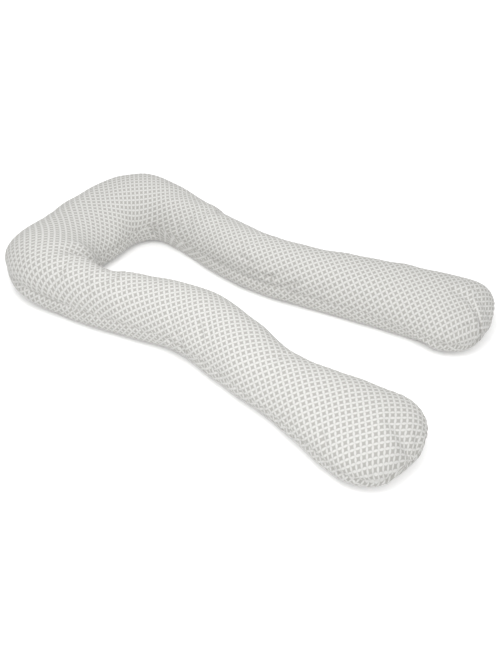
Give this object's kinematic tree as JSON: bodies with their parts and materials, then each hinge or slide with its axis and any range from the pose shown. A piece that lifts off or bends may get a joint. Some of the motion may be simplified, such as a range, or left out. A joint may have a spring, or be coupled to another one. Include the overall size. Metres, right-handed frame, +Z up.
{
  "type": "multipurpose cushion",
  "caption": "Full-length body cushion: one filled cloth tube bent into a U, legs drawn in at the waist, swollen rounded ends, crowned top and flat underside.",
  "frame": {"origin": "on the floor that the cushion lies on, under the middle of its whole outline", "axes": "+Y towards the closed end of the U, the two free ends point to -Y, +Z up through the crown"},
  "size_m": [0.8527, 1.4317, 0.197],
  "materials": {
    "cover": "matte woven cotton, white with a pale grey all-over print of overlapping circles"
  },
  "bodies": {
    "root": {"cushion": "cover"}
  },
  "joints": []
}
